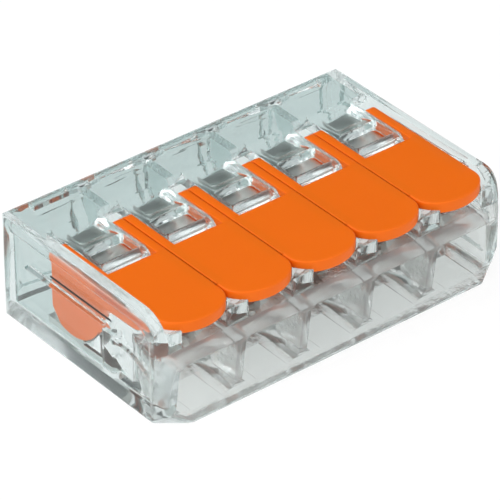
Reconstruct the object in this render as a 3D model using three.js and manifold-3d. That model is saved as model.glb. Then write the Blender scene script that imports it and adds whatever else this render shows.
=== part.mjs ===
// Lever splicing connector for five wires: a clear housing and rear cover hold one busbar, five
// cage springs and five orange levers. Millimetres, +Z up. X runs along the row of poles, the wires
// enter at -Y, and the origin is the middle of the bottom face.
import * as THREE from 'three';
import { mergeVertices } from 'three/addons/utils/BufferGeometryUtils.js';
import Module from 'manifold-3d';

// Driving dimensions
const LENGTH = 29.9;
const DEPTH = 18.6;
const HEIGHT = 8.3;
const POLES = 5;
const PITCH = 5.6;
const END_WALL = 0.95;
const CORNER_RADIUS = 1.6;
const FRONT_TOP_RADIUS = 2.6;

const PIVOT_Y = 2.0;
const PIVOT_Z = 4.95;
const DISC_RADIUS = 3.33;
const DISC_PLAY = 0.15;
const LEVER_HALF_WIDTH = 2.75;
const CHEEK_THICKNESS = 0.7;
const LEVER_TOP = 7.8;
const LEVER_THICKNESS = 0.9;
const LEVER_TIP_Y = -8.85;
const TIP_LENGTH = 1.95;
const WEB_REAR_Y = -0.85;

const BEAM_TOP = 6.2;
const STRIP_FRONT_Y = 4.95;
const STRIP_UNDERSIDE = 7.5;
const FLOOR_TOP = 0.8;
const TONGUE_HALF_WIDTH = 1.95;
const TONGUE_TOP = 7.75;
const TONGUE_UNDERSIDE = 6.9;

const PORT_HALF_WIDTH = 2.45;
const PORT_BOTTOM = 0.75;
const PORT_TOP = 4.8;
const BAY_HALF_WIDTH = 2.45;

const BAR_BOTTOM = 0.85;
const BAR_TOP = 1.45;
const FRAME_REAR_Y = 5.15;

const STRIP_METAL = 0.35;
const SPRING_HALF_WIDTH = 1.85;
const BOW_Y = -3.0;
const BOW_Z = 5.2;
const BOW_RADIUS = 1.4;
const CLAMP_SLOPE = 20;
const HOOK_REAR_Y = 5.55;

// Sizes worked out from them
const HALF_LENGTH = LENGTH / 2;
const FRONT = -DEPTH / 2;
const BACK = DEPTH / 2;
const FIELD = HALF_LENGTH - END_WALL;
const BEYOND = 1;
const LEVER_UNDERSIDE = LEVER_TOP - LEVER_THICKNESS;
const CHEEK_INNER = LEVER_HALF_WIDTH - CHEEK_THICKNESS;
const TIP_START_Y = LEVER_TIP_Y + TIP_LENGTH;
const BOW_INNER = BOW_RADIUS - STRIP_METAL;
const poleCentres = Array.from({ length: POLES }, (_, k) => (k - (POLES - 1) / 2) * PITCH);
const poleBorders = Array.from({ length: POLES + 1 }, (_, k) => (k - POLES / 2) * PITCH);
const innerBorders = poleBorders.slice(1, -1);

const wasm = await Module();
wasm.setup();

// Solids --------------------------------------------------------------------

function toSolid(geometry) {
  const plain = geometry.clone();
  plain.deleteAttribute('normal');
  plain.deleteAttribute('uv');
  const merged = mergeVertices(plain, 1e-5);
  return new wasm.Manifold(new wasm.Mesh({
    numProp: 3,
    vertProperties: new Float32Array(merged.attributes.position.array),
    triVerts: new Uint32Array(merged.index.array),
  }));
}

const AXIS_X = new THREE.Vector3(1, 0, 0);
const AXIS_Y = new THREE.Vector3(0, 1, 0);
const AXIS_Z = new THREE.Vector3(0, 0, 1);
const alongX = new THREE.Matrix4().makeBasis(AXIS_Y, AXIS_Z, AXIS_X);
const alongY = new THREE.Matrix4().makeBasis(AXIS_X, AXIS_Z, AXIS_Y.clone().negate());

function shapeOf(outline) {
  return Array.isArray(outline)
    ? new THREE.Shape(outline.map(([u, v]) => new THREE.Vector2(u, v)))
    : outline;
}

function extrude(outline, depth, steps = 6) {
  return new THREE.ExtrudeGeometry(shapeOf(outline), { depth, bevelEnabled: false, curveSegments: steps });
}

// A prism whose outline is drawn in (y, z) and runs from x0 to x1, with so many steps per curve.
function prismX(outline, x0, x1, steps) {
  return toSolid(extrude(outline, x1 - x0, steps).applyMatrix4(alongX).translate(x0, 0, 0));
}

// A prism whose outline is drawn in (x, z) and runs from y0 to y1.
function prismY(outline, y0, y1) {
  return toSolid(extrude(outline, y1 - y0).applyMatrix4(alongY).translate(0, y1, 0));
}

// A prism whose outline is drawn in (x, y) and runs from z0 to z1, with so many steps per curve.
function prismZ(outline, z0, z1, steps) {
  return toSolid(extrude(outline, z1 - z0, steps).translate(0, 0, z0));
}

function block([x0, x1], [y0, y1], [z0, z1]) {
  const box = new THREE.BoxGeometry(x1 - x0, y1 - y0, z1 - z0);
  return toSolid(box.translate((x0 + x1) / 2, (y0 + y1) / 2, (z0 + z1) / 2));
}

function join(solids) {
  return solids.reduce((whole, piece) => whole.add(piece));
}

function cutAway(solid, cutters) {
  return cutters.reduce((whole, piece) => whole.subtract(piece), solid);
}

function roundedRectangle(u0, u1, v0, v1, radius) {
  const shape = new THREE.Shape();
  shape.absarc(u1 - radius, v0 + radius, radius, -Math.PI / 2, 0);
  shape.absarc(u1 - radius, v1 - radius, radius, 0, Math.PI / 2);
  shape.absarc(u0 + radius, v1 - radius, radius, Math.PI / 2, Math.PI);
  shape.absarc(u0 + radius, v0 + radius, radius, Math.PI, 1.5 * Math.PI);
  return shape;
}

// A rectangle with its corners cut off, all by the same width but to different heights.
function chamferedRectangle(halfWidth, bottom, top, cut, lowRise, highDrop) {
  return [
    [-halfWidth + cut, bottom],
    [halfWidth - cut, bottom],
    [halfWidth, bottom + lowRise],
    [halfWidth, top - highDrop],
    [halfWidth - cut, top],
    [-halfWidth + cut, top],
    [-halfWidth, top - highDrop],
    [-halfWidth, bottom + lowRise],
  ];
}

// Points on a circle about the bow's centre, in (y, z).
function bowArc(radius, startAngle, endAngle, steps) {
  return Array.from({ length: steps + 1 }, (_, k) => {
    const angle = THREE.MathUtils.degToRad(startAngle + ((endAngle - startAngle) * k) / steps);
    return [BOW_Y + radius * Math.cos(angle), BOW_Z + radius * Math.sin(angle)];
  });
}

// A bent strip's outline: out along the outer side of the bend and back along the inner side.
function stripOutline(sideAt) {
  return [...sideAt(BOW_RADIUS), ...sideAt(BOW_INNER).reverse()];
}

// The rounded tip of a lever, seen from above, about its own pole centre and grown by a margin.
function tipOutline(rearY, margin) {
  const shape = new THREE.Shape();
  const halfWidth = LEVER_HALF_WIDTH + margin;
  shape.moveTo(halfWidth, rearY);
  shape.lineTo(-halfWidth, rearY);
  shape.absellipse(0, TIP_START_Y, halfWidth, TIP_LENGTH + margin, Math.PI, 2 * Math.PI, false);
  return shape;
}

// Outer housing -------------------------------------------------------------

// The slanting cut that takes the foot back at a front corner; its outline is (-distance, z) along
// the corner's own diagonal.
function footCorner(side) {
  const diagonal = 39;
  const outline = [[-15.15, -BEYOND], [-15.15, 0], [-15.65, 1.0], [-16.05, 2.6], [-18, 2.6], [-18, -BEYOND]];
  return prismX(outline, -9, 9).rotate([0, 0, side * diagonal]);
}

function housingEnvelope() {
  const backRadius = 0.85;
  const rimRadius = 0.65;
  const footRadius = 0.3;
  const rearRadius = 1.0;
  const arcY = -5.9;
  const arcZ = HEIGHT - FRONT_TOP_RADIUS;
  const side = new THREE.Shape();
  side.moveTo(FRONT + footRadius, 0);
  side.lineTo(BACK - footRadius, 0);
  side.absarc(BACK - footRadius, footRadius, footRadius, -Math.PI / 2, 0, false);
  side.absarc(BACK - backRadius, HEIGHT - backRadius, backRadius, 0, Math.PI / 2, false);
  side.absarc(arcY, arcZ, FRONT_TOP_RADIUS, Math.PI / 2, Math.PI, false);
  side.lineTo(-9.1, PORT_TOP + 0.1);
  side.lineTo(-8.55, PORT_BOTTOM);
  side.lineTo(FRONT, 0.3);
  side.lineTo(FRONT, 0.15);
  const plan = new THREE.Shape();
  plan.absarc(HALF_LENGTH - CORNER_RADIUS, FRONT + CORNER_RADIUS, CORNER_RADIUS, -Math.PI / 2, 0);
  plan.absarc(HALF_LENGTH - rearRadius, BACK - rearRadius, rearRadius, 0, Math.PI / 2);
  plan.absarc(rearRadius - HALF_LENGTH, BACK - rearRadius, rearRadius, Math.PI / 2, Math.PI);
  plan.absarc(CORNER_RADIUS - HALF_LENGTH, FRONT + CORNER_RADIUS, CORNER_RADIUS, Math.PI, 1.5 * Math.PI);
  const end = new THREE.Shape();
  end.absarc(HALF_LENGTH - footRadius, footRadius, footRadius, -Math.PI / 2, 0, false);
  end.absarc(HALF_LENGTH - rimRadius, HEIGHT - rimRadius, rimRadius, 0, Math.PI / 2, false);
  end.absarc(rimRadius - HALF_LENGTH, HEIGHT - rimRadius, rimRadius, Math.PI / 2, Math.PI, false);
  end.absarc(footRadius - HALF_LENGTH, footRadius, footRadius, Math.PI, 1.5 * Math.PI, false);
  return prismX(side, -HALF_LENGTH, HALF_LENGTH)
    .intersect(prismZ(plan, 0, HEIGHT))
    .intersect(prismY(end, FRONT, BACK))
    .subtract(footCorner(-1))
    .subtract(footCorner(1));
}

// The room that the levers' side discs and wedges need over the whole row.
function leverRoom() {
  const disc = new THREE.Shape();
  disc.absarc(PIVOT_Y, PIVOT_Z, DISC_RADIUS + DISC_PLAY, 0, 2 * Math.PI, false);
  const wedge = [
    [-5.95, BEAM_TOP + BEYOND], [-5.95, BEAM_TOP], [-5.35, 5.85], [-2.7, 4.75],
    [-1.0, 3.2], [PIVOT_Y, PIVOT_Z], [PIVOT_Y, BEAM_TOP + BEYOND],
  ];
  return prismX(disc, -FIELD, FIELD, 48).add(prismX(wedge, -FIELD, FIELD));
}

function wireEntry(x) {
  const mouthRear = -5.6;
  const throatY = -4.6;
  const mouth = chamferedRectangle(PORT_HALF_WIDTH, PORT_BOTTOM, PORT_TOP, 0.4, 0.4, 0.35);
  const throat = { halfWidth: 1.6, bottom: 1.5, top: 4.1 };
  const funnel = extrude(mouth, throatY - mouthRear).applyMatrix4(alongY).translate(0, throatY, 0);
  const spots = funnel.attributes.position;
  const scaleX = throat.halfWidth / PORT_HALF_WIDTH;
  const scaleZ = (throat.top - throat.bottom) / (PORT_TOP - PORT_BOTTOM);
  for (let i = 0; i < spots.count; i += 1) {
    if (spots.getY(i) > mouthRear + 0.1) {
      spots.setX(i, spots.getX(i) * scaleX);
      spots.setZ(i, throat.bottom + (spots.getZ(i) - PORT_BOTTOM) * scaleZ);
    }
  }
  const straight = chamferedRectangle(throat.halfWidth, throat.bottom, throat.top, 0.3, 0.4, 0.3);
  const groove = block([-1.35, 1.35], [FRONT - BEYOND, mouthRear], [PORT_BOTTOM - 0.08, PORT_BOTTOM + 0.1]);
  return join([
    prismY(mouth, FRONT - BEYOND, mouthRear),
    groove,
    toSolid(funnel),
    prismY(straight, throatY - 0.05, -4.2),
  ]).translate(x, 0, 0);
}

function fingerRecess(x) {
  const outline = roundedRectangle(x - 1.85, x + 1.85, BEAM_TOP - 0.4, BEAM_TOP + BEYOND, 0.3);
  return prismY(outline, FRONT - BEYOND, -7.35);
}

// The small clear posts that stand in the cusps between neighbouring lever tips.
function cuspPosts() {
  const postTop = 7.3;
  const posts = poleBorders.map((x) => block([x - 0.9, x + 0.9], [-8.6, -7.2], [5.9, postTop]));
  const tips = poleCentres.map((x) => prismZ(tipOutline(0, 0.14), BEAM_TOP + 0.1, 9, 12).translate(x, 0, 0));
  const inside = block([-FIELD - 0.2, FIELD + 0.2], [FRONT, 0], [0, HEIGHT]);
  return cutAway(join(posts), tips).intersect(inside);
}

function tongues() {
  const side = new THREE.Shape();
  side.moveTo(-0.78, TONGUE_UNDERSIDE);
  side.lineTo(5.7, TONGUE_UNDERSIDE);
  side.lineTo(5.7, STRIP_UNDERSIDE + 0.1);
  side.lineTo(5.2, TONGUE_TOP);
  side.lineTo(0.38, TONGUE_TOP);
  side.quadraticCurveTo(0, TONGUE_TOP, -0.28, TONGUE_TOP - 0.35);
  return join(poleCentres.map((x) => prismX(side, x - TONGUE_HALF_WIDTH, x + TONGUE_HALF_WIDTH)));
}

function testPocket(x) {
  return prismZ(roundedRectangle(x - 1.7, x + 1.7, 0.4, 2.5, 0.25), TONGUE_UNDERSIDE - 0.2, HEIGHT);
}

function windowRecess(x) {
  const outline = roundedRectangle(x - 1.25, x + 1.25, 3.0, 4.85, 0.35);
  return prismZ(outline, TONGUE_TOP - 0.35, HEIGHT);
}

// Shallow panel sunk into the outside of an end wall, with the ribs that are left standing in it.
function endPanel(side) {
  const outer = side * HALF_LENGTH;
  const sunk = side * (HALF_LENGTH - 0.35);
  const [x0, x1] = [Math.min(outer, sunk) - 0.001, Math.max(outer, sunk) + 0.001];
  const rim = new THREE.Shape();
  rim.moveTo(-7.5, 1.4);
  rim.lineTo(7.9, 1.4);
  rim.lineTo(7.9, 7.35);
  rim.lineTo(-5.7, 7.35);
  rim.absarc(-5.7, 5.6, 1.75, Math.PI / 2, Math.PI, false);
  const arch = new THREE.Shape();
  arch.moveTo(-7.6, 1.0);
  arch.lineTo(-3.3, 1.0);
  arch.lineTo(-3.3, 4.6);
  arch.quadraticCurveTo(-5.0, 5.5, -7.6, 3.6);
  const archInside = new THREE.Shape();
  archInside.moveTo(-7.6, 1.4);
  archInside.lineTo(-3.5, 1.4);
  archInside.lineTo(-3.5, 4.25);
  archInside.quadraticCurveTo(-5.0, 5.1, -7.6, 3.25);
  const rib = block([x0 - 1, x1 + 1], [-3.3, -2.35], [1.3, 4.9]);
  const gaugeRib = block([x0 - 1, x1 + 1], [-2.4, 6.2], [5.15, 5.35]);
  const archBand = prismX(arch, x0 - 1, x1 + 1).subtract(prismX(archInside, x0 - 2, x1 + 2));
  const kept = join([archBand, rib, gaugeRib]);
  return prismX(rim, x0, x1).subtract(kept);
}

function latchWindows() {
  const long = poleCentres.map((x) => block([x - 1.5, x + 1.5], [8.1, 8.7], [7, HEIGHT + BEYOND]));
  const short = innerBorders.map((x) => block([x - 0.45, x + 0.45], [7.9, 8.3], [7, HEIGHT + BEYOND]));
  return [...long, ...short];
}

function outerHousing() {
  const leverWell = block([-FIELD, FIELD], [FRONT - BEYOND, STRIP_FRONT_Y], [BEAM_TOP, HEIGHT + BEYOND]);
  const chamber = block([-FIELD, FIELD], [0.6, BACK + BEYOND], [FLOOR_TOP, STRIP_UNDERSIDE]);
  const busbarBed = block([-FIELD, FIELD], [-3.15, BACK], [FLOOR_TOP, BAR_TOP + 0.15]);
  const bays = poleCentres.map((x) => block([x - BAY_HALF_WIDTH, x + BAY_HALF_WIDTH], [-4.6, 1], [1.45, 7]));
  const hollow = cutAway(housingEnvelope(), [leverWell, chamber, busbarBed, leverRoom(), ...bays]);
  const dressed = join([hollow, tongues(), cuspPosts()]);
  return cutAway(dressed, [
    ...poleCentres.map(wireEntry),
    ...poleCentres.map(fingerRecess),
    ...poleCentres.map(testPocket),
    ...poleCentres.map(windowRecess),
    ...latchWindows(),
    endPanel(-1),
    endPanel(1),
  ]);
}

// Rear cover ----------------------------------------------------------------

function rearCover() {
  const play = 0.12;
  const [low, high] = [FLOOR_TOP + play, STRIP_UNDERSIDE - play];
  const half = FIELD - play;
  const plate = block([-half, half], [8.3, BACK - 0.05], [low, high]);
  const walls = innerBorders.map((x) => block([x - 0.35, x + 0.35], [5.85, 8.4], [low, high]));
  const noses = poleCentres.map((x) => block([x - 1.35, x + 1.35], [8.3, 8.6], [high - 0.1, 8.1]));
  const panelOutline = (x) => roundedRectangle(x - 2.2, x + 2.2, 1.7, 6.6, 0.4);
  const panels = poleCentres.map((x) => prismY(panelOutline(x), 8.95, BACK));
  return cutAway(join([plate, ...walls, ...noses]), panels);
}

// Busbar --------------------------------------------------------------------

function busbar() {
  const plate = block([-FIELD + 0.35, FIELD - 0.35], [-3.0, FRAME_REAR_Y], [BAR_BOTTOM, BAR_TOP]);
  const frames = poleCentres.map((x) => {
    const wall = block([x - 1.9, x + 1.9], [FRAME_REAR_Y - 0.6, FRAME_REAR_Y], [BAR_TOP - 0.1, 6.15]);
    const opening = block([x - 1.35, x + 1.35], [FRAME_REAR_Y - 1, FRAME_REAR_Y + 1], [BAR_TOP, 5.5]);
    return wall.subtract(opening);
  });
  const notches = innerBorders.map((x) => block([x - 0.4, x + 0.4], [-4, -2.2], [0, 2]));
  return cutAway(join([plate, ...frames]), notches);
}

// Cage springs --------------------------------------------------------------

function springBase(x) {
  const top = BOW_Z + BOW_RADIUS;
  const [x0, x1] = [x - SPRING_HALF_WIDTH, x + SPRING_HALF_WIDTH];
  const bentStrip = (radius) => [[HOOK_REAR_Y, BOW_Z + radius], ...bowArc(radius, 90, 175, 14)];
  const hook = block([x0, x1], [FRAME_REAR_Y + 0.05, HOOK_REAR_Y], [5.9, top]);
  return prismX(stripOutline(bentStrip), x0, x1).add(hook);
}

function springLeg(x) {
  const leaveAngle = 270 - CLAMP_SLOPE;
  const slope = THREE.MathUtils.degToRad(CLAMP_SLOPE);
  const tongueLength = 6.85;
  const tongueHalf = 1.1;
  const tabInner = 1.25;
  const tabEnd = 2.2;
  const bow = (radius) => bowArc(radius, 185, leaveAngle, 13);
  const tongue = (radius) => {
    const [y, z] = bow(radius).at(-1);
    const end = [y + tongueLength * Math.cos(slope), z - tongueLength * Math.sin(slope)];
    return [...bow(radius), end];
  };
  const tab = (radius) => [
    ...bow(radius), ...bowArc(radius, leaveAngle, 270, 4).slice(1), [tabEnd, BOW_Z - radius],
  ];
  return join([
    prismX(stripOutline(bow), x - SPRING_HALF_WIDTH, x + SPRING_HALF_WIDTH),
    prismX(stripOutline(tongue), x - tongueHalf, x + tongueHalf),
    prismX(stripOutline(tab), x - SPRING_HALF_WIDTH, x - tabInner),
    prismX(stripOutline(tab), x + tabInner, x + SPRING_HALF_WIDTH),
  ]);
}

// Levers --------------------------------------------------------------------

function leverCheekOutline() {
  const cornerRadius = 0.5;
  const rearY = 4.12;
  const shape = new THREE.Shape();
  shape.moveTo(-6.3, LEVER_TOP);
  shape.lineTo(-6.3, LEVER_UNDERSIDE);
  shape.lineTo(-5.6, 6.2);
  shape.lineTo(-5.2, 6.03);
  shape.lineTo(-2.53, 4.96);
  shape.lineTo(-2.14, 4.29);
  shape.absarc(PIVOT_Y, PIVOT_Z, DISC_RADIUS, 1.155 * Math.PI, 1.624 * Math.PI, false);
  shape.lineTo(rearY, 3.06);
  shape.absarc(rearY - cornerRadius, LEVER_TOP - cornerRadius, cornerRadius, 0, Math.PI / 2, false);
  return shape;
}

function lever(x) {
  const edge = 0.22;
  const handle = new THREE.ExtrudeGeometry(tipOutline(WEB_REAR_Y, 0), {
    depth: LEVER_THICKNESS - 2 * edge,
    bevelEnabled: true,
    bevelThickness: edge,
    bevelSize: edge,
    bevelOffset: -edge,
    bevelSegments: 2,
    curveSegments: 12,
  });
  handle.translate(0, 0, LEVER_UNDERSIDE + edge);
  const cheek = prismX(leverCheekOutline(), CHEEK_INNER, LEVER_HALF_WIDTH, 12);
  const peg = new THREE.CylinderGeometry(0.3, 0.3, 0.75, 12);
  peg.rotateZ(Math.PI / 2).translate(1.4 + 0.375, PIVOT_Y + 0.3, PIVOT_Z - 1.55);
  const half = cheek.add(toSolid(peg));
  return join([toSolid(handle), half, half.mirror([1, 0, 0])]).translate(x, 0, 0);
}

// Materials and assembly ----------------------------------------------------

const finishes = {
  clear: { color: 0xd9e2e0, roughness: 0.05, metalness: 0, transparent: true, opacity: 0.35 },
  orange: { color: 0xf1731f, roughness: 0.35, metalness: 0 },
  tinnedCopper: { color: 0xb9b9b4, roughness: 0.3, metalness: 1 },
  springSteel: { color: 0x9b9c9a, roughness: 0.25, metalness: 1 },
};

function namedMesh(name, solid, finish) {
  const { vertProperties, triVerts } = solid.getMesh();
  const geometry = new THREE.BufferGeometry();
  geometry.setAttribute('position', new THREE.BufferAttribute(vertProperties, 3));
  geometry.setIndex(new THREE.BufferAttribute(triVerts, 1));
  geometry.computeVertexNormals();
  const mesh = new THREE.Mesh(geometry, new THREE.MeshStandardMaterial(finish));
  mesh.name = name;
  return mesh;
}

const group = new THREE.Group();
group.add(namedMesh('outer_housing', outerHousing(), finishes.clear));
group.add(namedMesh('rear_cover', rearCover(), finishes.clear));
group.add(namedMesh('busbar', busbar(), finishes.tinnedCopper));
poleCentres.forEach((x, k) => {
  group.add(namedMesh(`spring_base_${k + 1}`, springBase(x), finishes.springSteel));
  group.add(namedMesh(`spring_leg_${k + 1}`, springLeg(x), finishes.springSteel));
  group.add(namedMesh(`lever_${k + 1}`, lever(x), finishes.orange));
});

export default group;
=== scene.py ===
"""Studio scene of a clear lever splicing connector with five orange levers.

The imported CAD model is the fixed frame. Each section below makes one piece, or one group of like
pieces, in the order in which the connector is put together, in metres.
"""
import math

import bmesh
import bpy
import numpy as np
from mathutils import Matrix, Vector


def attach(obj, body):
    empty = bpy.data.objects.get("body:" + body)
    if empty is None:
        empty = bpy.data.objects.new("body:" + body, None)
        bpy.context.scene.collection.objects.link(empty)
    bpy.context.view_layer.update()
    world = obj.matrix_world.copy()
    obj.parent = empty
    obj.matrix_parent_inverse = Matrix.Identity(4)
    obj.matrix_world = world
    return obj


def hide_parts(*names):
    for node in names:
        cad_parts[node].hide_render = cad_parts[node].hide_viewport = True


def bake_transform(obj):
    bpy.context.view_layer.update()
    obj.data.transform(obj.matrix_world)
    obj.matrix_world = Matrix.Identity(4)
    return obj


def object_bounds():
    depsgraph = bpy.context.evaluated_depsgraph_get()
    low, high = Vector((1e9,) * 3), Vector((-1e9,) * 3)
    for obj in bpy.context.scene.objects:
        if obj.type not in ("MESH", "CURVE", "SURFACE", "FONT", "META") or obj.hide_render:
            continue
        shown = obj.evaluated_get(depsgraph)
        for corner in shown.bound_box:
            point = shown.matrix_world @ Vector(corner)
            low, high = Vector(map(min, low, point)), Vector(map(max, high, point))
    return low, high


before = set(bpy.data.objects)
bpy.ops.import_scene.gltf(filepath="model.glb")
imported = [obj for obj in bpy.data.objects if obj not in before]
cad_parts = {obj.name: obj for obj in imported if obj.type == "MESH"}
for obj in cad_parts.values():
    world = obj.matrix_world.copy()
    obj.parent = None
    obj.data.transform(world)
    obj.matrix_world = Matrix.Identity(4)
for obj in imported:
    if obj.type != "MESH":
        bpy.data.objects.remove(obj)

cad_box = [list(corner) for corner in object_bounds()]
MM = 0.001
scene = bpy.context.scene

# Studio --------------------------------------------------------------------
# A softly glowing pale table, a pale room, three softboxes, and a grey flag that stands out of the
# picture behind the object. The camera looks down on the wire entries from the left end of the
# row, far off with a long lens, so that edges stay parallel.
studio = {"azimuth": -39.09, "elevation": 34.17, "distance": 0.2856, "lens": 299.6}
middle = Vector((0, 0, (cad_box[0][2] + cad_box[1][2]) / 2))


def look_from(azimuth, elevation, distance):
    """A point on a sphere about the object's middle: azimuth 0 is in front, elevation is above."""
    a, e = math.radians(azimuth), math.radians(elevation)
    outward = Vector((math.sin(a) * math.cos(e), -math.cos(a) * math.cos(e), math.sin(e)))
    return middle + outward * distance


def aim(thing, place):
    """Stands a camera, lamp or flag at a place and turns it to the object's middle."""
    thing.location = place
    thing.rotation_euler = (middle - place).to_track_quat("-Z", "Y").to_euler()
    scene.collection.objects.link(thing)


camera = bpy.data.objects.new("studio_camera", bpy.data.cameras.new("studio_camera"))
camera.data.lens = studio["lens"]
camera.data.sensor_width = 36
camera.data.shift_x = -0.00905
camera.data.shift_y = -0.0147
camera.data.clip_start = 0.01
aim(camera, look_from(studio["azimuth"], studio["elevation"], studio["distance"]))
scene.camera = camera


def softbox(name, azimuth, elevation, width, height, watts):
    """A rectangular white area light that faces the object from 0.3 m away."""
    lamp = bpy.data.lights.new(name, "AREA")
    lamp.shape = "RECTANGLE"
    lamp.size, lamp.size_y = width, height
    lamp.energy = watts
    aim(bpy.data.objects.new(name, lamp), look_from(azimuth, elevation, 0.3))


softbox("overhead_softbox", azimuth=10, elevation=80, width=0.25, height=0.25, watts=0.1)
softbox("left_softbox", azimuth=-100, elevation=35, width=0.3, height=0.3, watts=0.62)
softbox("front_softbox", azimuth=20, elevation=25, width=0.25, height=0.2, watts=0.15)

room = bpy.data.worlds.new("pale_room")
room.use_nodes = True
room.node_tree.nodes["Background"].inputs["Color"].default_value = (0.93, 0.95, 0.96, 1)
room.node_tree.nodes["Background"].inputs["Strength"].default_value = 0.75
scene.world = room
scene.view_settings.view_transform = "Standard"
scene.cycles.max_bounces = 32
scene.cycles.glossy_bounces = 32
scene.cycles.transmission_bounces = 32
scene.cycles.transparent_max_bounces = 20


def cloudy_tone_group():
    """Node group: a colour that drifts between a dark and a light tone with soft noise."""
    group = bpy.data.node_groups.new("cloudy_tone", "ShaderNodeTree")
    for socket, kind in (("Vector", "NodeSocketVector"), ("Scale", "NodeSocketFloat"),
                         ("Dark", "NodeSocketColor"), ("Light", "NodeSocketColor")):
        group.interface.new_socket(socket, in_out="INPUT", socket_type=kind)
    group.interface.new_socket("Tone", in_out="OUTPUT", socket_type="NodeSocketColor")
    given = group.nodes.new("NodeGroupInput")
    result = group.nodes.new("NodeGroupOutput")
    cloud = group.nodes.new("ShaderNodeTexNoise")
    tone = group.nodes.new("ShaderNodeMix")
    tone.data_type = "RGBA"
    group.links.new(given.outputs["Vector"], cloud.inputs["Vector"])
    group.links.new(given.outputs["Scale"], cloud.inputs["Scale"])
    group.links.new(cloud.outputs["Fac"], tone.inputs["Factor"])
    group.links.new(given.outputs["Dark"], tone.inputs["A"])
    group.links.new(given.outputs["Light"], tone.inputs["B"])
    group.links.new(tone.outputs["Result"], result.inputs["Tone"])
    return group


def fine_grain_group():
    """Node group: a fine noise as a height, and as a roughness between a smooth and a dull value."""
    group = bpy.data.node_groups.new("fine_grain", "ShaderNodeTree")
    for socket, kind in (("Vector", "NodeSocketVector"), ("Scale", "NodeSocketFloat"),
                         ("Detail", "NodeSocketFloat"), ("Smooth", "NodeSocketFloat"),
                         ("Dull", "NodeSocketFloat")):
        group.interface.new_socket(socket, in_out="INPUT", socket_type=kind)
    for socket in ("Height", "Roughness"):
        group.interface.new_socket(socket, in_out="OUTPUT", socket_type="NodeSocketFloat")
    given = group.nodes.new("NodeGroupInput")
    result = group.nodes.new("NodeGroupOutput")
    grain = group.nodes.new("ShaderNodeTexNoise")
    sheen = group.nodes.new("ShaderNodeMapRange")
    for socket in ("Vector", "Scale", "Detail"):
        group.links.new(given.outputs[socket], grain.inputs[socket])
    group.links.new(grain.outputs["Fac"], sheen.inputs["Value"])
    group.links.new(given.outputs["Smooth"], sheen.inputs["To Min"])
    group.links.new(given.outputs["Dull"], sheen.inputs["To Max"])
    group.links.new(grain.outputs["Fac"], result.inputs["Height"])
    group.links.new(sheen.outputs["Result"], result.inputs["Roughness"])
    return group


cloudy_tone = cloudy_tone_group()
fine_grain = fine_grain_group()


def new_finish(name):
    """A new material, with its node tree, its shader and its object coordinates at hand."""
    finish = bpy.data.materials.new(name)
    finish.use_nodes = True
    tree = finish.node_tree
    place = tree.nodes.new("ShaderNodeTexCoord").outputs["Object"]
    return finish, tree, tree.nodes["Principled BSDF"], place


def add_tone(tree, shader, place, scale, dark, light):
    """Places the cloudy tone in a material, as its colour."""
    tone = tree.nodes.new("ShaderNodeGroup")
    tone.node_tree = cloudy_tone
    tone.inputs["Scale"].default_value = scale
    tone.inputs["Dark"].default_value = (*dark, 1)
    tone.inputs["Light"].default_value = (*light, 1)
    tree.links.new(place, tone.inputs["Vector"])
    tree.links.new(tone.outputs["Tone"], shader.inputs["Base Color"])


def add_grain(tree, shader, place, scale, detail, smooth, dull):
    """Places the fine grain in a material, as its roughness, and gives its height."""
    grain = tree.nodes.new("ShaderNodeGroup")
    grain.node_tree = fine_grain
    grain.inputs["Scale"].default_value = scale
    grain.inputs["Detail"].default_value = detail
    grain.inputs["Smooth"].default_value = smooth
    grain.inputs["Dull"].default_value = dull
    tree.links.new(place, grain.inputs["Vector"])
    tree.links.new(grain.outputs["Roughness"], shader.inputs["Roughness"])
    return grain.outputs["Height"]


def add_relief(tree, shader, height, strength, distance):
    """Turns a height into a bump on a material's surface."""
    relief = tree.nodes.new("ShaderNodeBump")
    relief.inputs["Strength"].default_value = strength
    relief.inputs["Distance"].default_value = distance
    tree.links.new(height, relief.inputs["Height"])
    tree.links.new(relief.outputs["Normal"], shader.inputs["Normal"])
    return relief


def card(name, darkest, lightest, glow):
    """Matt card with a faint fibre mottle, lit from below by an even glow."""
    finish, tree, shader, place = new_finish(name)
    shader.inputs["Roughness"].default_value = 0.9
    shader.inputs["Specular IOR Level"].default_value = 0.1
    shader.inputs["Emission Color"].default_value = (1, 1, 1, 1)
    shader.inputs["Emission Strength"].default_value = glow
    add_tone(tree, shader, place, 900, [darkest] * 3, [lightest] * 3)
    return finish


def board(name, half_width, half_depth, finish):
    """A flat rectangular board about the origin."""
    mesh = bpy.data.meshes.new(name)
    corners = [(x * half_width, y * half_depth, 0) for x, y in ((-1, -1), (1, -1), (1, 1), (-1, 1))]
    mesh.from_pydata(corners, [], [(0, 1, 2, 3)])
    mesh.materials.append(finish)
    return bpy.data.objects.new(name, mesh)


table = board("table", 2.0, 2.0, card("pale_card", 0.18, 0.22, glow=0.82))
table.location.z = -0.00002
scene.collection.objects.link(table)

flag = board("grey_flag", 0.3, 0.16, card("grey_card", 0.05, 0.08, glow=0))
aim(flag, look_from(141, 32, 0.5))

# Clear housing -------------------------------------------------------------
# Injection-moulded polycarbonate, polished in the mould but finely textured in the wire entries:
# one shell with five wire entries, a tongue with a test pocket over each spring, and a lever well.
# Its edges have small mould radii.


def merged_copy(node, name):
    """A copy of a CAD solid in which the loose triangles are joined at their corners."""
    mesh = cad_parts[node].data.copy()
    mesh.name = name
    work = bmesh.new()
    work.from_mesh(mesh)
    bmesh.ops.remove_doubles(work, verts=work.verts, dist=2e-6)
    work.to_mesh(mesh)
    work.free()
    mesh.materials.clear()
    piece = bpy.data.objects.new(name, mesh)
    scene.collection.objects.link(piece)
    return piece


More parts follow.
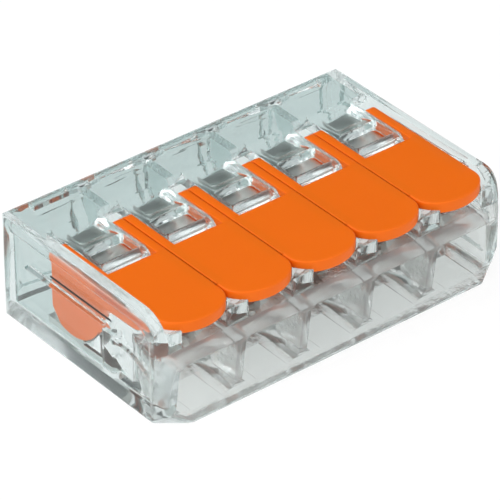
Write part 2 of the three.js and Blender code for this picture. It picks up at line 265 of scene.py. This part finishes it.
def shade(piece):
    """Smooth shading that breaks at sharp edges and is weighted so that flat faces stay flat."""
    mesh = piece.data
    mesh.polygons.foreach_set("use_smooth", np.ones(len(mesh.polygons), bool))
    mesh.set_sharp_from_angle(angle=math.radians(32))
    weighted = piece.modifiers.new("flat_faces_stay_flat", "WEIGHTED_NORMAL")
    weighted.keep_sharp = True
    weighted.weight = 100


def clear_plastic(name, tint, haze, edge_radius, clarity=0.98, wave_scale=260, wave_strength=0.05):
    """Clear plastic that lets lamp light through, with rounded edges and a faint surface wave."""
    finish, tree, shader, place = new_finish(name)
    shader.inputs["Base Color"].default_value = (*tint, 1)
    shader.inputs["Transmission Weight"].default_value = clarity
    shader.inputs["IOR"].default_value = 1.38
    shader.inputs["Specular Tint"].default_value = (0.5, 0.5, 0.5, 1)
    height = add_grain(tree, shader, place, wave_scale, 2, haze * 0.5, haze * 1.6)
    wave = add_relief(tree, shader, height, wave_strength, 0.0002)
    rounding = tree.nodes.new("ShaderNodeBevel")
    rounding.samples = 4
    rounding.inputs["Radius"].default_value = edge_radius
    lamp_ray = tree.nodes.new("ShaderNodeLightPath")
    let_through = tree.nodes.new("ShaderNodeBsdfTransparent")
    share = tree.nodes.new("ShaderNodeMixShader")
    tree.links.new(rounding.outputs["Normal"], wave.inputs["Normal"])
    tree.links.new(lamp_ray.outputs["Is Shadow Ray"], share.inputs["Fac"])
    tree.links.new(shader.outputs["BSDF"], share.inputs[1])
    tree.links.new(let_through.outputs["BSDF"], share.inputs[2])
    tree.links.new(share.outputs["Shader"], tree.nodes["Material Output"].inputs["Surface"])
    return finish


polished_tint = (0.73, 0.80, 0.795)
polished = clear_plastic("clear_housing_plastic", polished_tint, haze=0.03, edge_radius=0.12 * MM)
textured = clear_plastic("spark_textured_plastic", (0.68, 0.70, 0.685), haze=0.12, edge_radius=0.1 * MM,
                         clarity=0.8, wave_scale=2500, wave_strength=0.12)
housing = merged_copy("outer_housing", "clear_housing")
shade(housing)
housing.data.materials.append(polished)
housing.data.materials.append(textured)
centres = np.empty(len(housing.data.polygons) * 3)
housing.data.polygons.foreach_get("center", centres)
face_x, face_y, face_z = centres.reshape(-1, 3).T / MM
between_end_walls = np.abs(face_x) < 13.8
in_wire_entry = (face_y < -4.5) & (face_z > 0.3) & (face_z < 5.0)
on_beam_front = (face_y < -8.0) & (face_z > 4.9) & (face_z < 6.1)
is_textured = between_end_walls & (in_wire_entry | on_beam_front)
housing.data.polygons.foreach_set("material_index", is_textured.astype(np.int32))
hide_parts("outer_housing")
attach(housing, "housing")

# Rear cover ----------------------------------------------------------------
# The same clear plastic: a plate with walls between the poles, pushed in from behind until its
# noses snap into the slots of the housing's top strip.
cover = merged_copy("rear_cover", "clear_rear_cover")
shade(cover)
cover.data.materials.append(
    clear_plastic("clear_cover_plastic", polished_tint, haze=0.04, edge_radius=0.1 * MM))
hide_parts("rear_cover")
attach(cover, "housing")

# Levers --------------------------------------------------------------------
# Orange glass-filled polyamide, one moulding each: a handle plate with a rounded tip, two arms
# and two round side discs. Each snaps in between the housing's tongues and turns on its discs.
pitch = 5.6 * MM
pole_centres = [(k - 2) * pitch for k in range(5)]


def arc(centre, radius, start, end, steps):
    """Points on a circle, or an ellipse if radius is a pair: centre + radius * (cos t, sin t)."""
    t = np.radians(np.linspace(start, end, steps))
    return np.asarray(centre) + np.asarray(radius) * np.column_stack((np.cos(t), np.sin(t)))


def spread(outline, gap):
    """The same closed outline with its straight stretches cut into steps of at most gap."""
    following = np.roll(outline, -1, axis=0)
    counts = np.maximum(1, np.ceil(np.linalg.norm(following - outline, axis=1) / gap).astype(int))
    start = np.repeat(outline, counts, axis=0)
    step = np.repeat(following - outline, counts, axis=0)
    share = np.concatenate([np.arange(n) / n for n in counts])[:, None]
    return start + step * share


def closed_mesh(name, spots, faces):
    """A mesh from its points and faces, with every face turned outwards."""
    mesh = bpy.data.meshes.new(name)
    mesh.from_pydata(spots.tolist(), [], faces)
    mesh.validate()
    work = bmesh.new()
    work.from_mesh(mesh)
    bmesh.ops.recalc_face_normals(work, faces=work.faces)
    work.to_mesh(mesh)
    work.free()
    return mesh


def slab_mesh(name, outline, low, high, radius, axes):
    """A slab with rounded rims. Ring v is the outline moved in by radius * (1 - cos a) at height
    low + radius * (1 - sin a), then the mirror image at the top, and both ends are capped flat."""
    tangent = np.roll(outline, -1, axis=0) - np.roll(outline, 1, axis=0)
    outward = np.column_stack((tangent[:, 1], -tangent[:, 0]))
    outward /= np.linalg.norm(outward, axis=1)[:, None]
    a = np.radians(np.linspace(90, 0, 5))
    inset = np.concatenate((radius * (1 - np.cos(a)), radius * (1 - np.cos(a[::-1]))))
    height = np.concatenate((low + radius * (1 - np.sin(a)), high - radius * (1 - np.sin(a[::-1]))))
    rings = outline[None] - outward[None] * inset[:, None, None]
    levels = np.broadcast_to(height[:, None], rings.shape[:2])
    spots = np.dstack((rings, levels)).reshape(-1, 3)[:, np.argsort(axes)]
    count, n = len(height), len(outline)
    v, u = np.meshgrid(np.arange(count - 1), np.arange(n), indexing="ij")
    nxt = (u + 1) % n
    quads = np.stack((v * n + u, v * n + nxt, (v + 1) * n + nxt, (v + 1) * n + u), -1).reshape(-1, 4)
    caps = [list(range(n))[::-1], list(range((count - 1) * n, count * n))]
    return closed_mesh(name, spots, quads.tolist() + caps)


def fuse(name, meshes):
    """One closed solid out of overlapping closed meshes."""
    whole = bpy.data.objects.new(name, meshes[0])
    scene.collection.objects.link(whole)
    for mesh in meshes[1:]:
        other = bpy.data.objects.new(name + "_joined", mesh)
        scene.collection.objects.link(other)
        join = whole.modifiers.new("join", "BOOLEAN")
        join.operation, join.solver, join.object = "UNION", "EXACT", other
        bpy.context.view_layer.update()
        joined = bpy.data.meshes.new_from_object(whole.evaluated_get(bpy.context.evaluated_depsgraph_get()))
        whole.modifiers.clear()
        whole.data = joined
        bpy.data.objects.remove(other)
    whole.data.name = name
    return whole


def handle_outline():
    """The handle from above: straight sides to the tip's start, then half an ellipse."""
    half, tip_start, tip_length, rear, corner = 2.75, -6.9, 1.95, -0.85, 0.12
    rim = np.vstack((
        arc((0, tip_start), (half, tip_length), 180, 360, 49),
        arc((half - corner, rear - corner), corner, 0, 90, 5),
        arc((-half + corner, rear - corner), corner, 90, 180, 5),
    ))
    return spread(rim * MM, 0.5 * MM)


def cheek_outline():
    """One side of a lever: round disc below, arm with a rounded rear corner, and front wedge."""
    pivot, disc_radius = (2.0, 4.95), 3.33
    rear_corner, corner_radius, handle_top = (3.62, 7.29), 0.5, 7.79
    rim = np.vstack((
        [(-6.3, 6.95), (-5.6, 6.2), (-5.2, 6.03), (-2.6, 5.0), (-2.4, 4.75), (-2.14, 4.29)],
        arc(pivot, disc_radius, 208, 292, 40),
        [(4.05, 2.9), (4.12, 3.1)],
        arc(rear_corner, corner_radius, 0, 90, 12),
        [(-6.3, handle_top)],
    ))
    return spread(rim * MM, 0.4 * MM)


def lever_mesh():
    """Handle plate, two cheeks and their pegs about X = 0, fused into one moulding."""
    yz_then_x, xy_then_z = (1, 2, 0), (0, 1, 2)
    peg = arc((2.3, 3.4), 0.3, 0, 345, 24) * MM
    meshes = [slab_mesh("handle", handle_outline(), 6.9 * MM, 7.8 * MM, 0.14 * MM, xy_then_z)]
    for side in (-1, 1):
        inner, outer = sorted((side * 2.05 * MM, side * 2.75 * MM))
        meshes.append(slab_mesh("cheek", cheek_outline(), inner, outer, 0.08 * MM, yz_then_x))
        inner, outer = sorted((side * 1.4 * MM, side * 2.2 * MM))
        meshes.append(slab_mesh("peg", peg, inner, outer, 0.06 * MM, yz_then_x))
    whole = fuse("lever_moulding", meshes)
    mesh = whole.data
    bpy.data.objects.remove(whole)
    return mesh


def orange_polyamide():
    """Saturated orange with a fine satin grain, faint flow tone and a little light inside."""
    finish, tree, shader, place = new_finish("orange_polyamide")
    shader.inputs["Subsurface Weight"].default_value = 0.08
    shader.inputs["Subsurface Radius"].default_value = (0.001, 0.0004, 0.0001)
    shader.inputs["Subsurface Scale"].default_value = 0.3
    shader.inputs["IOR"].default_value = 1.53
    shader.inputs["Specular IOR Level"].default_value = 0.16
    add_tone(tree, shader, place, 220, (0.78, 0.135, 0.002), (0.83, 0.144, 0.003))
    height = add_grain(tree, shader, place, 9000, 3, 0.34, 0.5)
    add_relief(tree, shader, height, 0.12, 0.00003)
    return finish


lever_shape = lever_mesh()
lever_shape.materials.clear()
lever_shape.materials.append(orange_polyamide())
for k, x in enumerate(pole_centres, start=1):
    lever = bpy.data.objects.new(f"orange_lever_{k}", lever_shape.copy())
    lever.data.transform(Matrix.Translation((x, 0, 0)))
    scene.collection.objects.link(lever)
    shade(lever)
    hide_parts(f"lever_{k}")
    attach(lever, f"lever_{k}")

# Clamp springs -------------------------------------------------------------
# One strip of bright spring steel per pole, bent in one go: a hook over the busbar's frame, a flat
# leg under the test pocket, a bow in front, and a clamping tongue with a tab on either side.
strip = 0.35 * MM


def strip_mesh(name, path, half_width, x):
    """A bent strip: at each path point the section is half_width to either side of x, and half
    the strip's thickness to either side of the path along the path's normal."""
    along = np.gradient(path, axis=0)
    along /= np.linalg.norm(along, axis=1)[:, None]
    normal = np.column_stack((-along[:, 1], along[:, 0]))
    corners = [(-1, -1), (1, -1), (1, 1), (-1, 1)]
    rows = [np.column_stack((np.full(len(path), x) + side * half_width, path + normal * strip / 2 * face))
            for side, face in corners]
    spots = np.stack(rows, axis=1).reshape(-1, 3)
    i, c = np.meshgrid(np.arange(len(path) - 1), np.arange(4), indexing="ij")
    quads = np.stack((i * 4 + c, i * 4 + (c + 1) % 4, (i + 1) * 4 + (c + 1) % 4, (i + 1) * 4 + c), -1)
    last = (len(path) - 1) * 4
    caps = [[3, 2, 1, 0], [last, last + 1, last + 2, last + 3]]
    return closed_mesh(name, spots, quads.reshape(-1, 4).tolist() + caps)


def spring_mesh(x):
    """Hook, flat leg and bow as one strip, then the sloping tongue and the two level tabs."""
    bow, middle_radius, slope = np.array([-3.0, 5.2]), 1.225, 20
    flat_z = bow[1] + middle_radius
    hook = np.vstack(([(5.37, 5.92)], arc((5.17, flat_z - 0.2), 0.2, 0, 90, 8)))
    flat = np.column_stack((np.linspace(4.9, bow[0] + 0.2, 16), np.full(16, flat_z)))
    back = np.vstack((hook, flat, arc(bow, middle_radius, 90, 270 - slope, 40)))
    leave = arc(bow, middle_radius, 270 - slope, 270 - slope, 1)[0]
    down = np.array([math.cos(math.radians(slope)), -math.sin(math.radians(slope))])
    tongue = leave + np.linspace(-0.02, 6.85, 24)[:, None] * down
    level = np.column_stack((np.linspace(bow[0] + 0.1, 2.2, 12), np.full(12, bow[1] - middle_radius)))
    tab = np.vstack((arc(bow, middle_radius, 268 - slope, 270, 8), level))
    meshes = [strip_mesh("back", back * MM, 1.85 * MM, x), strip_mesh("tongue", tongue * MM, 1.1 * MM, x)]
    meshes += [strip_mesh("tab", tab * MM, 0.3 * MM, x + side * 1.55 * MM) for side in (-1, 1)]
    return fuse("spring_strip", meshes)


def metal(name, colour, roughness, stretch):
    """Rolled strip metal: fine parallel rolling marks along the strip, and a cloudy tone."""
    finish, tree, shader, place = new_finish(name)
    shader.inputs["Metallic"].default_value = 1
    turn = tree.nodes.new("ShaderNodeMapping")
    turn.inputs["Scale"].default_value = stretch
    tree.links.new(place, turn.inputs["Vector"])
    add_tone(tree, shader, place, 350, [c * 0.86 for c in colour], colour)
    marks = add_grain(tree, shader, turn.outputs["Vector"], 1200, 4, roughness * 0.75, roughness * 1.4)
    add_relief(tree, shader, marks, 0.15, 0.00002)
    return finish


spring_steel = metal("bright_spring_steel", (0.70, 0.69, 0.67), roughness=0.3, stretch=(6, 0.4, 6))
for k, x in enumerate(pole_centres, start=1):
    spring = spring_mesh(x)
    spring.name = f"clamp_spring_{k}"
    spring.data.materials.clear()
    spring.data.materials.append(spring_steel)
    shade(spring)
    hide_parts(f"spring_base_{k}", f"spring_leg_{k}")
    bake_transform(spring)

# Busbar --------------------------------------------------------------------
# Tin-plated copper, stamped from one strip, with a frame bent up behind each spring. The stamped
# edges are broken by a small bevel.
bar = merged_copy("busbar", "tinned_busbar")
bar.data.materials.append(metal("tin_plating", (0.78, 0.78, 0.76), roughness=0.32, stretch=(0.4, 6, 6)))
stamped = bar.modifiers.new("stamped_edges", "BEVEL")
stamped.width = 0.04 * MM
stamped.segments = 2
stamped.limit_method = "ANGLE"
shade(bar)
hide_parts("busbar")
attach(bar, "housing")

# Painted dark edge ----------------------------------------------------------
# A thin black line painted on the left end wall's sunk panel: painted shade that stands in for the
# dark edge which the panel's rib shows through the clear plastic.


def dark_edge_paint():
    """Matt black paint for the painted dark edge, whose cover and sheen vary a little."""
    finish, tree, shader, place = new_finish("painted_shade_black")
    add_tone(tree, shader, place, 4000, (0.006, 0.006, 0.006), (0.02, 0.02, 0.02))
    add_grain(tree, shader, place, 4000, 2, 0.4, 0.6)
    return finish


# Painted shade: a black line where the rib's dark edge shows through the end wall.
line = spread(np.array([(-2.95, 5.58), (3.8, 5.58), (3.8, 5.76), (-2.95, 5.76)]) * MM, 0.3 * MM)
painted_shade_mesh = slab_mesh("painted_shade_line", line, -14.61 * MM, -14.59 * MM, 0.004 * MM, (1, 2, 0))
painted_shade_strip = bpy.data.objects.new("painted_shade_line", painted_shade_mesh)
painted_shade_strip.data.materials.append(dark_edge_paint())
scene.collection.objects.link(painted_shade_strip)
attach(painted_shade_strip, "housing")
